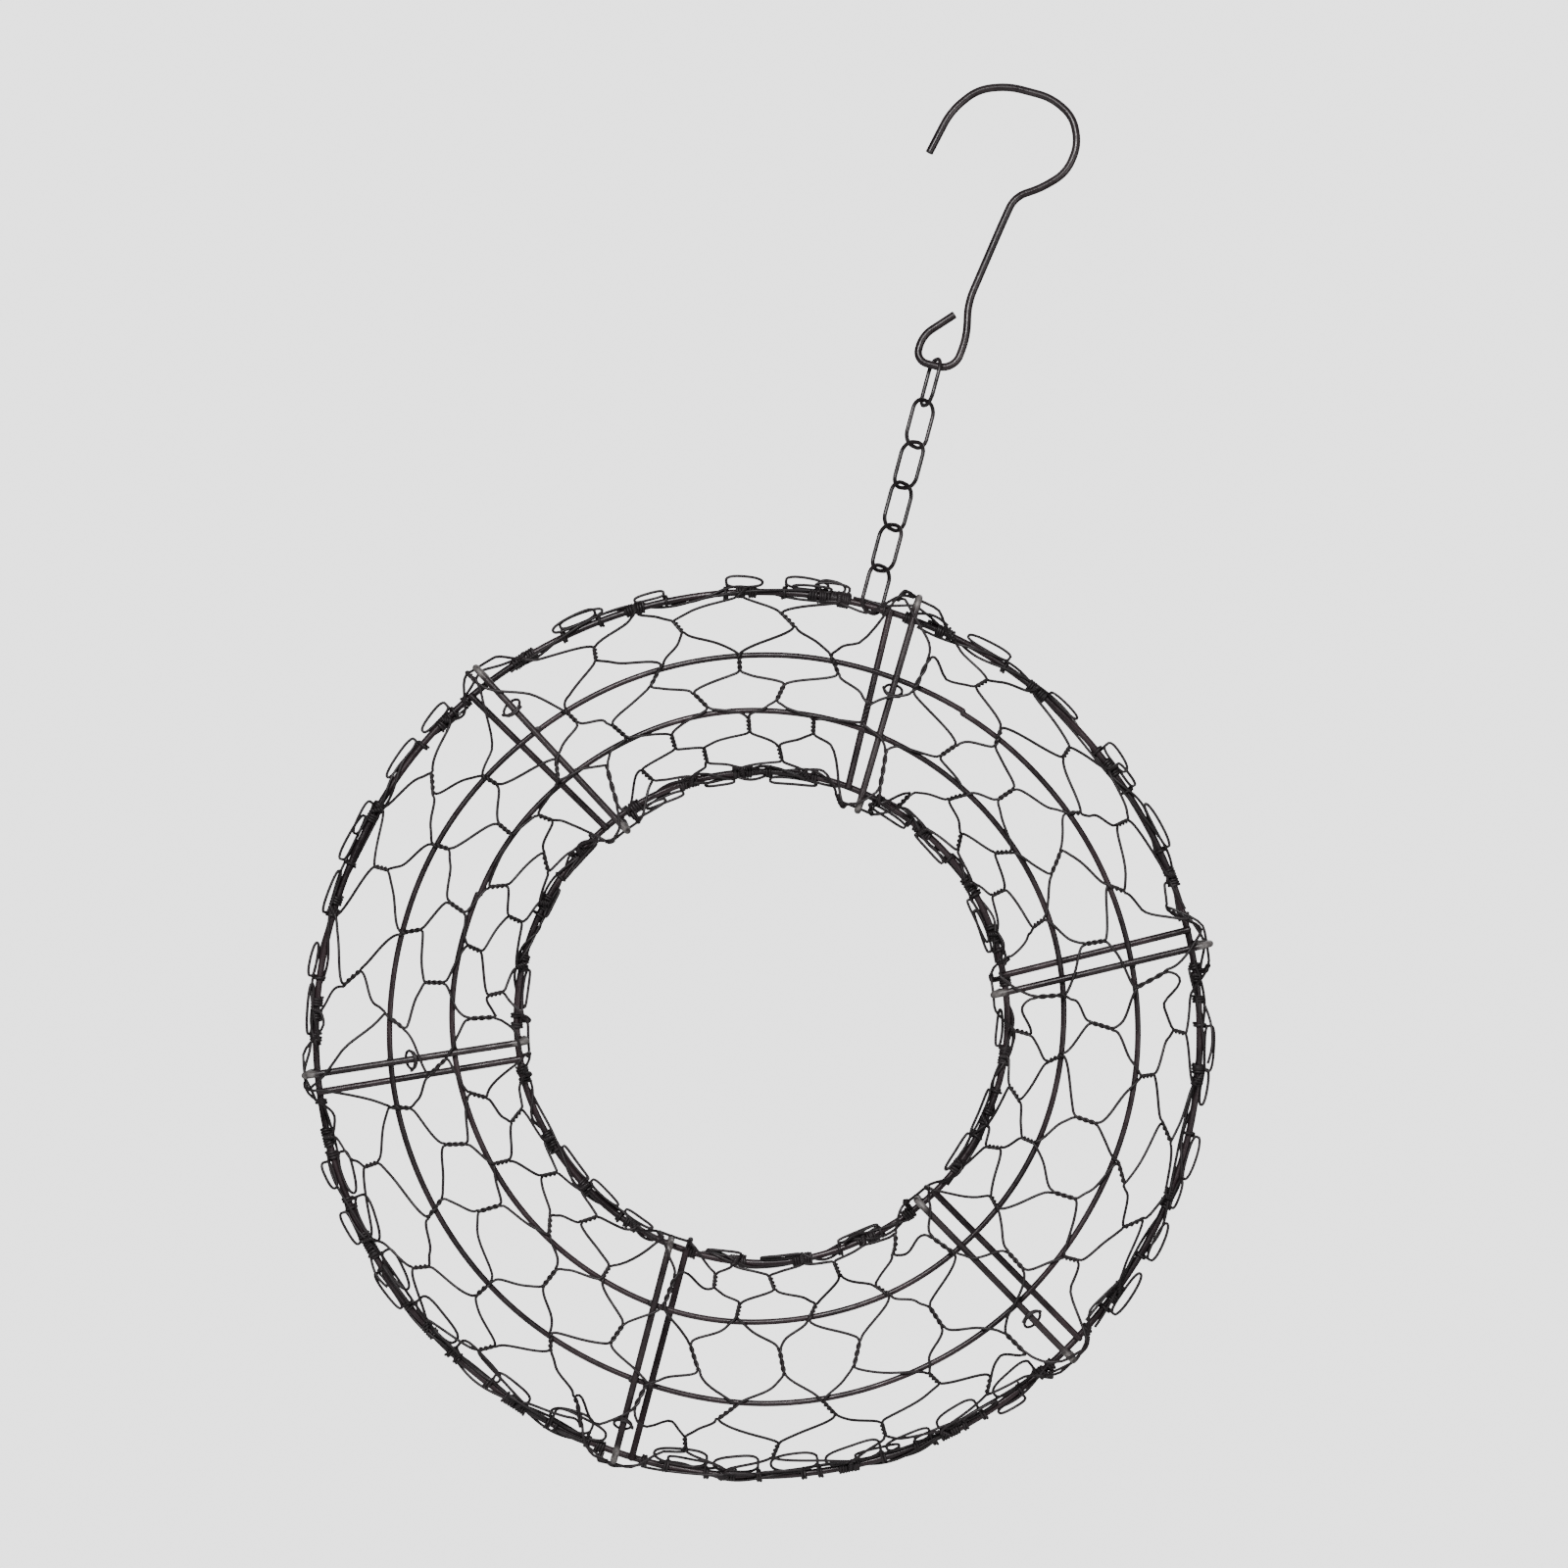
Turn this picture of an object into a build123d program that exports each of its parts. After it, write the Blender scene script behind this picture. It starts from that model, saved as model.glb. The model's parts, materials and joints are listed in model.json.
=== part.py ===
"""Wreath frame: welded wire rings and ribs covered with hexagonal netting, hung on a chain and a hook.

Row frame: millimetres, +Z up, the front of the frame faces -Y, +X to the right seen from the front.
The origin is the inside of the hook's crown, where the hook rests on its nail.
The eye, the chain and the wreath's centre share one upright line, a little left of the origin.
The wreath is worked out upright and then tipped about its top, because its front rings carry its
weight forward of the chain: it hangs with its foot a little back and its centre of mass plumb.

How the object is made:
- back frame: an outer and an inner rim ring in one plane, joined by six straight bars lapped on their fronts
- front frame: two lighter rings held forward by six staple-shaped ribs, whose legs are welded to the rims
- hexagonal netting, hand stretched over the front and hooked round both rims, with a few tie wires
- a six-link chain round the top of the outer rim, and an open wire hook
"""
import os
from math import cos, degrees, hypot, radians, sin, sqrt, tan

from build123d import *

os.makedirs("parts", exist_ok=True)

# ---------------------------------------------------------------- wires (diameters)
RIM_WIRE = 2.8          # outer and inner rim rings
FRONT_WIRE = 2.4        # the two front rings
BAR_WIRE = 2.8          # back bars and ribs
CHAIN_WIRE = 1.7
HOOK_WIRE = 3.2
NET_WIRE = 0.8

# ---------------------------------------------------------------- frame
# Each ring: centreline radius, and how far its centre sits right of and above the frame's centre.
OUTER_RIM = (177.3, 0.0, -4.5)
FRONT_OUTER = (147.8, 1.5, -1.0)
FRONT_INNER = (120.8, -1.5, 3.2)
INNER_RIM = (98.5, 0.0, 2.5)
FRONT_DEPTH = 28.0      # front rings stand this far forward of the rims
WELD_SET = 0.25         # how far two crossed wires sink into each other at a resistance weld
RIB_OUTER_REACH = 181.0  # distance of a rib's front corners from the frame's centre
RIB_INNER_REACH = 92.5
RIB_BEND = 3.6          # centreline bend radius of the ribs
RIB_FOOT_BACK = 1.0     # a rib's legs end this far behind the rims' middle
BAR_OVERHANG = 0.6      # a back bar's ends stand this far past the rims' middle
HANG_TILT = 4.65        # degrees that the wreath hangs out of plumb

# Bearings in degrees, anticlockwise from +X seen from the front, as welded by hand:
# back bar's outer end, back bar's inner end, rib's outer end, rib's inner end.
STATIONS = (
    (87.4, 84.5, 84.5, 80.5),
    (27.2, 26.0, 25.2, 22.3),
    (-29.8, -29.3, -32.0, -33.2),
    (-91.6, -93.2, -93.7, -97.6),
    (-156.2, -156.6, -158.8, -161.2),
    (146.4, 143.2, 143.4, 139.2),
)

# ---------------------------------------------------------------- hook
HOOK_CROWN = (8.5, 118.6)   # middle of the crook's level top, right of and above the eye
HOOK_OUTLINE = (            # corners of the bent wire, from the free tip to the eye's end
    (-24.5, 83.7), (-20.4, 102.6), (-12.2, 114.0), (-0.4, 118.6), (17.4, 118.6), (28.0, 113.4),
    (33.0, 102.4), (31.2, 90.2), (22.8, 81.4), (13.4, 75.2), (11.2, 62.0), (6.2, 28.0), (9.3, 15.0),
    (7.8, 0.0), (-8.2, 0.0), (-8.2, 10.5), (2.2, 22.2),
)
HOOK_BEND = 40.0            # largest bend radius in the hook

# ---------------------------------------------------------------- chain
LINKS = 6
LINK_PITCH = 17.4       # from the wire below a link to the wire that carries it
LINK_GAP = 0.2          # running clearance between two links
LINK_WIDTH = 12.0       # across the centreline
LINK_BEND = 5.0         # corner radius, so that each end is level for 2 mm in the middle
LINK_TURNS = (-72.0, 45.0, -45.0, 45.0, -45.0, 45.0)    # degrees each link stands out of the XZ plane
LINK_SEAM = 0.15        # opening where the link's wire ends meet

# ---------------------------------------------------------------- netting
CELLS = 25              # hexagons round the frame
TWIST_HALF = 4.2        # half the length of one twist
STRAND_GAP = 1.15       # between the two strands' centrelines in a twist
NET_CLEARANCE = 0.2     # between the netting and the frame's wires
NET_BEND = 1.2
NET_PAST_RING = 0.8     # the netting turns this far past the front rings' middle
RIM_TWIST = 1.4         # a twist that starts on a rim is longer by this factor
CUT_END = 0.4           # a strand's hooked end stops this far short of the rim's middle
# Rows of twists: 0 to 1 is the outer slope, 1 to 2 the front face, 2 to 3 the inner slope.
TWIST_ROWS = (0.0, 0.46, 1.00, 1.60, 2.14, 2.60, 3.0)
ROW_SWAY = (0.0, 0.06, 0.15, 0.16, 0.06, 0.0, 0.0)  # how far each row wanders from its place
SWAY_BEARING = 150.0    # where the rows wander furthest towards the middle
FIRST_COLUMN = 7.2      # bearing of the outer rim's first twist
DRIFT_ANGLE = 1.5       # degrees by which a twist strays round the frame
DRIFT_ALONG = 1.8       # and how far it strays along the strand
TENT_FULL = 6.0         # the netting rides fully over a rib within this distance of it
TENT_FADE = 20.0        # and is back to its own line this far from it
TWIST_OFF_RIB = 5.2     # no twist sits nearer to a rib than this
RIM_CORNER_Y = -0.8     # where the netting's slopes turn round the rims
TENT_TURNS = (0.50, 0.60, 2.40, 2.50)   # where the tent over a rib turns round the rib's two corners
TENT_SHOULDER = 2.0     # the tent's slopes end this far behind the rib's front run
TENT_INSET = 0.5        # and its top starts this far in from the rib's corners
LEAST_RUN = 1.2         # a strand's corners nearer than this to their neighbours are
LEAST_TURN = (12.0, 2.0)    # left out under the first turn, and others under the second

# ---------------------------------------------------------------- tie wires
TIE_STATIONS = (1, 3, 4, 5, 6)      # rib 2 has no tie
TIE_REACHES = (143.0, 158.0, 167.0, 139.0, 159.5)   # from the wreath's centre, one for each tie
TIE_CLEARANCE = 0.1
TIE_TURN = (-120, 330)  # a curl starts at this bearing round the rib and turns this far
TIE_STEPS = 8
TIE_ADVANCE = 1.5       # how far a curl moves along its rib
# a curl is a polygon, so its corners stand out by this factor for its runs to clear the rib
TIE_CORNER_FACTOR = 1.06
TIE_START = (3.2, 1.4)          # the first cut end's reach to the side and towards the front
TIE_END = (-0.3, 2.6, 1.2)      # the last cut end's reach to the side, towards the front and along

# ---------------------------------------------------------------- derived heights
EYE_X = -HOOK_CROWN[0]                                  # the eye, the chain and the wreath's centre
EYE_Z = HOOK_WIRE / 2 - HOOK_CROWN[1]                   # bottom of the eye's centreline
LINK_LENGTH = LINK_PITCH + CHAIN_WIRE + LINK_GAP        # centreline, top to bottom
TOP_JOINT = (HOOK_WIRE + CHAIN_WIRE) / 2 + LINK_GAP     # link 1's top above the eye's centreline
RIM_JOINT = (RIM_WIRE + CHAIN_WIRE) / 2 + LINK_GAP      # link 6's bottom below the rim's centreline


def link_top(k):
    """Height of the top of link k's centreline; link 0 hangs in the hook's eye."""
    return EYE_Z + TOP_JOINT - k * LINK_PITCH


RIM_TOP_Z = link_top(LINKS - 1) - LINK_LENGTH + RIM_JOINT
CENTRE_Z = RIM_TOP_Z - OUTER_RIM[2] - OUTER_RIM[0]

RIB_Y = -(FRONT_DEPTH + (FRONT_WIRE + BAR_WIRE) / 2 - WELD_SET)
BAR_Y = -((RIM_WIRE + BAR_WIRE) / 2 - WELD_SET)
LEG_OFFSET = (RIM_WIRE + BAR_WIRE) / 2 - WELD_SET


# ---------------------------------------------------------------- helpers
def around(radius, bearing, y=0.0):
    """A point at a bearing and a distance from the frame's centre line."""
    a = radians(bearing)
    return Vector(EYE_X + radius * cos(a), y, CENTRE_Z + radius * sin(a))


def reach(ring, bearing):
    """Distance from the frame's centre to a ring's centreline at a bearing."""
    radius, dx, dz = ring
    a = radians(bearing)
    along = dx * cos(a) + dz * sin(a)
    across = dx * sin(a) - dz * cos(a)
    return along + sqrt(radius**2 - across**2)


def corner_radii(points, largest):
    """A bend radius for each corner of a bent wire, as large as its two runs allow up to a limit."""
    radii = []
    for a, b, c in zip(points, points[1:], points[2:]):
        turn = (b - a).get_angle(c - b)
        run = min((b - a).length, (c - b).length)
        radii.append(min(largest, 0.45 * run / tan(radians(turn) / 2)))
    return radii


def bent_wire(points, diameter, largest):
    """A round wire along straight runs joined by tangent bends."""
    return round_wire(FilletPolyline(*points, radius=corner_radii(points, largest)), diameter)


def round_wire(path, diameter):
    start = Plane(origin=path @ 0, z_dir=path % 0)
    return sweep(start * Circle(diameter / 2), path=path)


def hung(shape):
    """Tips a piece of the upright wreath about the top of its outer rim, as it hangs."""
    top = Vector(EYE_X, 0, RIM_TOP_Z)
    return Location(top) * Location((0, 0, 0), (HANG_TILT, 0, 0)) * Location(-top) * shape


def write(name, *solids):
    """One STEP file per node; a node of several pieces keeps them as separate solids."""
    shape = solids[0] if len(solids) == 1 else Compound(children=solids)
    shape.label = name
    export_step(shape, f"parts/{name}.step")


def write_hung(name, *solids):
    write(name, *(hung(solid) for solid in solids))


# ---------------------------------------------------------------- rings
def ring(spec, wire, y):
    radius, dx, dz = spec
    place = Location((EYE_X + dx, y, CENTRE_Z + dz), (90, 0, 0))
    return place * Torus(radius, wire / 2)


# ---------------------------------------------------------------- back bars and ribs
def back_bar(station):
    """A straight bar lapped on the fronts of both rims."""
    outer, inner = station[:2]
    ends = [
        around(reach(OUTER_RIM, outer) + BAR_OVERHANG, outer, BAR_Y),
        around(reach(INNER_RIM, inner) - BAR_OVERHANG, inner, BAR_Y),
    ]
    run = ends[1] - ends[0]
    return Plane(origin=ends[0], z_dir=run) * Cylinder(
        BAR_WIRE / 2, run.length, align=(Align.CENTER, Align.CENTER, Align.MIN)
    )


def rib_points(station):
    outer, inner = station[2:]
    return [
        around(reach(OUTER_RIM, outer) + LEG_OFFSET, outer, RIB_FOOT_BACK),
        around(RIB_OUTER_REACH, outer, RIB_Y),
        around(RIB_INNER_REACH, inner, RIB_Y),
        around(reach(INNER_RIM, inner) - LEG_OFFSET, inner, RIB_FOOT_BACK),
    ]


def front_rib(station):
    """A staple: flat across the front rings, with a leg bent back to each rim."""
    return bent_wire(rib_points(station), BAR_WIRE, RIB_BEND)


# ---------------------------------------------------------------- hook
def hook():
    """Open crook, reverse bend, shank and an open teardrop eye, all in the frame's plane."""
    points = [Vector(EYE_X + x, 0, EYE_Z + z) for x, z in HOOK_OUTLINE]
    return bent_wire(points, HOOK_WIRE, HOOK_BEND)


# ---------------------------------------------------------------- chain
def link_direction(k):
    """Horizontal direction in link k's plane."""
    a = radians(LINK_TURNS[k])
    return Vector(cos(a), sin(a), 0)


def chain_link(k):
    """An oval of bent wire whose two ends meet half-way down one side."""
    middle = Vector(EYE_X, 0, link_top(k) - LINK_LENGTH / 2)
    side = link_direction(k) * (LINK_WIDTH / 2)
    up, seam = Vector(0, 0, LINK_LENGTH / 2), Vector(0, 0, LINK_SEAM / 2)
    corners = (side + seam, side + up, up - side, -up - side, side - up, side - seam)
    return round_wire(FilletPolyline(*(middle + corner for corner in corners), radius=LINK_BEND), CHAIN_WIRE)


# ---------------------------------------------------------------- hexagonal netting
NET_OFF_RIM = (RIM_WIRE + NET_WIRE) / 2 + NET_CLEARANCE
NET_Y = -(FRONT_DEPTH + (FRONT_WIRE + NET_WIRE) / 2 + NET_CLEARANCE)
TENT_Y = RIB_Y - (BAR_WIRE + NET_WIRE) / 2 - NET_CLEARANCE
TENT_PROUD = (BAR_WIRE + NET_WIRE) / 2 + NET_CLEARANCE


def between(a, b, share):
    return tuple(p + (q - p) * share for p, q in zip(a, b))


def along_runs(corners, t):
    """A point on a chain of (t, (reach, y)) corners."""
    for (t0, p0), (t1, p1) in zip(corners, corners[1:]):
        if t <= t1:
            return between(p0, p1, (t - t0) / (t1 - t0))
    return corners[-1][1]


def off_rib(radius, bearing, t):
    """Signed distance of a point from the nearest rib, measured round the frame."""
    share = min(max(t / 3, 0), 1)
    turns = ((bearing - (s[2] + (s[3] - s[2]) * share) + 180) % 360 - 180 for s in STATIONS)
    return radians(min(turns, key=abs)) * radius


def net_point(t, bearing):
    """A point of the netting: straight from ring to ring, lifted over the ribs like a tent."""
    outer, inner = reach(OUTER_RIM, bearing), reach(INNER_RIM, bearing)
    second = reach(FRONT_OUTER, bearing) + NET_PAST_RING
    third = reach(FRONT_INNER, bearing) - NET_PAST_RING
    leg = LEG_OFFSET + TENT_PROUD
    shoulder_y = RIB_Y + TENT_SHOULDER
    plain = along_runs(
        (
            (0, (outer + NET_OFF_RIM, RIM_CORNER_Y)),
            (1, (second, NET_Y)),
            (2, (third, NET_Y)),
            (3, (inner - NET_OFF_RIM, RIM_CORNER_Y)),
        ),
        t,
    )
    tent = along_runs(
        (
            (0, (outer + leg, RIM_CORNER_Y)),
            (TENT_TURNS[0], (RIB_OUTER_REACH + TENT_PROUD, shoulder_y)),
            (TENT_TURNS[1], (RIB_OUTER_REACH - TENT_INSET, TENT_Y)),
            (1, (second, TENT_Y)),
            (2, (third, TENT_Y)),
            (TENT_TURNS[2], (RIB_INNER_REACH + TENT_INSET, TENT_Y)),
            (TENT_TURNS[3], (RIB_INNER_REACH - TENT_PROUD, shoulder_y)),
            (3, (inner - leg, RIM_CORNER_Y)),
        ),
        t,
    )
    off = abs(off_rib(plain[0], bearing, t))
    lift = min(max((TENT_FADE - off) / (TENT_FADE - TENT_FULL), 0), 1)
    radius, y = between(plain, tent, lift)
    return around(radius, bearing, y)


def stray(column, row, seed):
    """A repeatable irregularity between -1 and 1, as hand-stretched netting has."""
    column %= CELLS
    return 0.5 * sin(2.3 * column + 1.7 * row + seed) + 0.5 * sin(5.1 * column - 2.9 * row + 2 * seed)


def t_per_mm(t):
    """How much t changes for a millimetre along the strand."""
    slope = hypot(FRONT_DEPTH, OUTER_RIM[0] - FRONT_OUTER[0])
    front = FRONT_OUTER[0] - FRONT_INNER[0]
    inner = hypot(FRONT_DEPTH, FRONT_INNER[0] - INNER_RIM[0])
    return 1 / (slope if t < 1 else front if t < 2 else inner)


def twist_place(row, column):
    """Where a twist stands along the strand and round the frame, strayed a little and kept off the ribs."""
    half_cell = 180 / CELLS
    middle = FIRST_COLUMN + (2 * column - row % 2) * half_cell
    t = TWIST_ROWS[row] + ROW_SWAY[row] * cos(radians(middle - SWAY_BEARING))
    middle += DRIFT_ANGLE * stray(column, row, 0.4)
    radius = OUTER_RIM[0] + (INNER_RIM[0] - OUTER_RIM[0]) * t / 3
    off = off_rib(radius, middle, t)
    if abs(off) < TWIST_OFF_RIB:
        middle += degrees(((TWIST_OFF_RIB if off >= 0 else -TWIST_OFF_RIB) - off) / radius)
    return t, middle, radius


def strand_marks(j):
    """Strand j zigzags between two columns of twists, from the outer rim to the inner rim."""
    last = len(TWIST_ROWS) - 1
    marks = []
    for row in range(len(TWIST_ROWS)):
        column = (j + 1) // 2 if row % 2 else j // 2
        side = (1 if j % 2 else -1) * (-1 if row % 2 else 1)
        t, bearing, radius = twist_place(row, column)
        bearing += side * degrees(STRAND_GAP / 2 / radius)
        half = TWIST_HALF * t_per_mm(t)
        if row == 0:
            marks += [(0, bearing), (RIM_TWIST * half, bearing)]
        elif row == last:
            marks += [(3 - RIM_TWIST * half, bearing), (3, bearing)]
        else:
            t += DRIFT_ALONG * stray(column, row, 1.9) * t_per_mm(t)
            marks += [(t - half, bearing), (t + half, bearing)]
    return marks


def hooked_end(ring, bearing, sign):
    """The strand's last bend, round the back of a rim."""
    rim = reach(ring, bearing)
    return [
        around(rim - sign * CUT_END, bearing, NET_OFF_RIM),
        around(rim + sign * NET_OFF_RIM, bearing, NET_OFF_RIM),
    ]


def strand_route(j):
    """Corners of a strand's path, with those that hardly turn left out."""
    marks = strand_marks(j)
    turns = (*TENT_TURNS, 1, 2)
    points = hooked_end(OUTER_RIM, marks[0][1], 1) + [net_point(*marks[0])]
    for (t0, b0), (t1, b1) in zip(marks, marks[1:]):
        stops = {t0 + (t1 - t0) * share / 4 for share in (1, 2, 3, 4)}
        stops |= {turn for turn in turns if t0 < turn < t1}
        stops = sorted(stops)
        points += [net_point(t, b0 + (b1 - b0) * (t - t0) / (t1 - t0)) for t in stops]
    points += hooked_end(INNER_RIM, marks[-1][1], -1)[::-1]
    kept = [points[0]]
    for here, after in zip(points[1:], points[2:]):
        near = min((here - kept[-1]).length, (after - here).length) < LEAST_RUN
        if (here - kept[-1]).get_angle(after - here) > LEAST_TURN[0 if near else 1]:
            kept.append(here)
    kept.append(points[-1])
    return kept


def net_strand(j):
    return bent_wire(strand_route(j), NET_WIRE, NET_BEND)


def bay_of(bearing):
    """Which bay between two ribs a bearing falls in, 0 being clockwise of the first rib."""
    marks = [(s[2] + s[3]) / 2 for s in STATIONS]
    behind = [(mark - bearing) % 360 for mark in marks]
    return behind.index(min(behind))


# ---------------------------------------------------------------- curled ties
def tie_wire(station, radius):
    """A short wire curled once round a rib, with both cut ends standing off to one side."""
    share = (RIB_OUTER_REACH - radius) / (RIB_OUTER_REACH - RIB_INNER_REACH)
    a, b = rib_points(station)[1:3]
    middle, along = a + (b - a) * share, (b - a).normalized()
    back = Vector(0, 1, 0)
    side = along.cross(back).normalized()
    curl = ((BAR_WIRE + NET_WIRE) / 2 + TIE_CLEARANCE) * TIE_CORNER_FACTOR
    points = []
    for step in range(TIE_STEPS + 1):
        share = step / TIE_STEPS
        turn = radians(TIE_TURN[0] + TIE_TURN[1] * share)
        out = (side * cos(turn) + back * sin(turn)) * curl
        points.append(middle + out + along * (TIE_ADVANCE * (share - 0.5)))
    points.insert(0, points[0] + side * TIE_START[0] - back * TIE_START[1])
    points.append(points[-1] + side * TIE_END[0] - back * TIE_END[1] + along * TIE_END[2])
    return bent_wire(points, NET_WIRE, curl)


# ---------------------------------------------------------------- build
write_hung("outer_ring", ring(OUTER_RIM, RIM_WIRE, 0))
write_hung("inner_ring", ring(INNER_RIM, RIM_WIRE, 0))
write_hung("front_ring_outer", ring(FRONT_OUTER, FRONT_WIRE, -FRONT_DEPTH))
write_hung("front_ring_inner", ring(FRONT_INNER, FRONT_WIRE, -FRONT_DEPTH))
bays = [[] for _ in STATIONS]
for j in range(2 * CELLS):
    bays[bay_of(FIRST_COLUMN + (j - 0.5) * 180 / CELLS)].append(net_strand(j))
for k, station in enumerate(STATIONS):
    write_hung(f"back_bar_{k + 1}", back_bar(station))
    write_hung(f"front_rib_{k + 1}", front_rib(station))
    write_hung(f"netting_bay_{k + 1}", *bays[k])
for number, radius in zip(TIE_STATIONS, TIE_REACHES):
    write_hung(f"tie_wire_{number}", tie_wire(STATIONS[number - 1], radius))
for k in range(LINKS):
    write(f"chain_link_{k + 1}", chain_link(k))
write("hanging_hook", hook())

print("eye", EYE_Z, "rim top", round(RIM_TOP_Z, 2), "centre", round(CENTRE_Z, 2))
print("link tops", [round(link_top(k), 2) for k in range(LINKS)])
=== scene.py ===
import json
import math
import random

import bpy
import numpy as np
from mathutils import Matrix, Vector


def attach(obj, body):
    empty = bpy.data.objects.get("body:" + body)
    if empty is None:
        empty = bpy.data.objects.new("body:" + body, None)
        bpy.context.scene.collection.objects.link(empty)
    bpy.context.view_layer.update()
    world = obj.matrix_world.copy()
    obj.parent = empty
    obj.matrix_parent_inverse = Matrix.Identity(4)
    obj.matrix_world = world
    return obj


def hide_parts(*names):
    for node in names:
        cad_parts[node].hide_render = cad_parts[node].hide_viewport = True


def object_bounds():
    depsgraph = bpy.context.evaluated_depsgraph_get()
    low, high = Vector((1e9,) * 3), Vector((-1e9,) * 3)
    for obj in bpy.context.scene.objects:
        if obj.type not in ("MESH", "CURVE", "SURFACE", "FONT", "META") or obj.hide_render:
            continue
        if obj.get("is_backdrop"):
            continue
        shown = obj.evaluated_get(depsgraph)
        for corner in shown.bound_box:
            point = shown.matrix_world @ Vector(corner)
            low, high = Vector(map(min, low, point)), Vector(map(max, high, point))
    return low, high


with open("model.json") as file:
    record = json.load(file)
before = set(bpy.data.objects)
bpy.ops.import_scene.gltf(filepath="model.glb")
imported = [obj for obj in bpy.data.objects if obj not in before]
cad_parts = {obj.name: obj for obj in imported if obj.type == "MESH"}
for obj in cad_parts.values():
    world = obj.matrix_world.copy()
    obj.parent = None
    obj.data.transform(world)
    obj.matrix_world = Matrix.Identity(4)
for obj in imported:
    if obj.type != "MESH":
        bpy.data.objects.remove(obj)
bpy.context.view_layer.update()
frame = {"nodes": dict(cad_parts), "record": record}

# A wreath frame: welded rings and ribs under hexagonal netting, on a chain and a hook.
# Everything here is bent wire, so nearly every piece is a round tube along a worked-out line.
# Lengths are in metres; bearings are degrees round the wreath, anticlockwise from +X seen from the front.
# The wreath hangs a few degrees out of plumb. Its pieces are worked out upright, with -Y in front,
# and tipped about the top of the outer rim when their meshes are made.
MM = 0.001

# ------------------------------------------------------------------ what the frame says
MOUNTS = {mount["name"]: mount for mount in frame["record"]["mounts"]}
JOINTS = {joint["name"]: joint for joint in frame["record"]["behaviour"]["joints"]}
RIM_TOP = np.array(JOINTS["frame_swing"]["pos_m"])
TILT = math.atan2(MOUNTS["back_rest"]["axis"][2], MOUNTS["back_rest"]["axis"][1])


def tipped(points, angle):
    """Points turned about a line along X through the top of the outer rim."""
    x, y, z = (np.asarray(points, float) - RIM_TOP).T
    c, s = math.cos(angle), math.sin(angle)
    return np.column_stack((x, c * y - s * z, s * y + c * z)) + RIM_TOP


def upright(node):
    """A CAD node's points, with the wreath turned upright."""
    return tipped([v.co for v in frame["nodes"][node].data.vertices], -TILT)


CENTRE_X, _, CENTRE_Z = tipped([MOUNTS["back_rest"]["pos_m"]], -TILT)[0]
STATION_COUNT = sum(name.startswith("front_rib_") for name in frame["nodes"])


class Ring:
    """A round ring in an upright plane, read from its CAD node."""

    def __init__(self, node):
        points = upright(node)
        low, high = points.min(0), points.max(0)
        self.wire = (high[1] - low[1]) / 2
        self.radius = (high[0] - low[0]) / 2 - self.wire
        self.y = (low[1] + high[1]) / 2
        self.dx = (low[0] + high[0]) / 2 - CENTRE_X
        self.dz = (low[2] + high[2]) / 2 - CENTRE_Z

    def reach(self, bearing):
        """Distance from the wreath's centre to the ring's centreline at a bearing."""
        a = math.radians(bearing)
        along = self.dx * math.cos(a) + self.dz * math.sin(a)
        across = self.dx * math.sin(a) - self.dz * math.cos(a)
        return along + math.sqrt(self.radius**2 - across**2)


OUTER_RIM, INNER_RIM = Ring("outer_ring"), Ring("inner_ring")
FRONT_OUTER, FRONT_INNER = Ring("front_ring_outer"), Ring("front_ring_inner")


def polar(reach, bearing, y):
    """A point at a distance and a bearing from the wreath's centre line."""
    a = math.radians(bearing)
    return np.array((CENTRE_X + reach * math.cos(a), y, CENTRE_Z + reach * math.sin(a)))


def along_ring(bearing):
    """Unit vector round the wreath at a bearing."""
    return polar(1, bearing + 90, 0) - polar(0, bearing + 90, 0)


FRONT_SKIN = 1.5 * MM       # points this near a bar's foremost ones belong to its front run
END_SKIN = 0.4 * MM         # points this near the farthest and the nearest mark its two ends


class Bar:
    """The straight front run of a rib, or a back bar: bearing and reach of its two ends."""

    def __init__(self, node):
        points = upright(node)
        self.y = points[:, 1].min()
        front = points[points[:, 1] < self.y + FRONT_SKIN]
        flat = front[:, [0, 2]] - (CENTRE_X, CENTRE_Z)
        reaches = np.hypot(*flat.T)
        far = flat[reaches > reaches.max() - END_SKIN].mean(0)
        near = flat[reaches < reaches.min() + END_SKIN].mean(0)
        self.outer_reach, self.inner_reach = reaches.max(), reaches.min()
        self.outer, self.inner = (math.degrees(math.atan2(p[1], p[0])) for p in (far, near))

    def bearing(self, reach):
        """Its bearing at a distance from the wreath's centre."""
        share = (self.outer_reach - reach) / (self.outer_reach - self.inner_reach)
        turn = (self.inner - self.outer + 180) % 360 - 180
        return self.outer + turn * min(max(share, 0), 1)


RIBS = [Bar(f"front_rib_{k + 1}") for k in range(STATION_COUNT)]
BACK_BARS = [Bar(f"back_bar_{k + 1}") for k in range(STATION_COUNT)]
BAR_WIRE = 1.4 * MM         # a radius, as every wire's size is here
RIB_Y = RIBS[0].y + BAR_WIRE
RIB_OUTER = RIBS[0].outer_reach - BAR_WIRE      # reach of the middle of a rib's wire at its bends
RIB_INNER = RIBS[0].inner_reach + BAR_WIRE
CHAIN_BEARING = 90.0
CHAIN_CLEAR = 7 * MM        # netting ends stay this far either side of the last link

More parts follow.
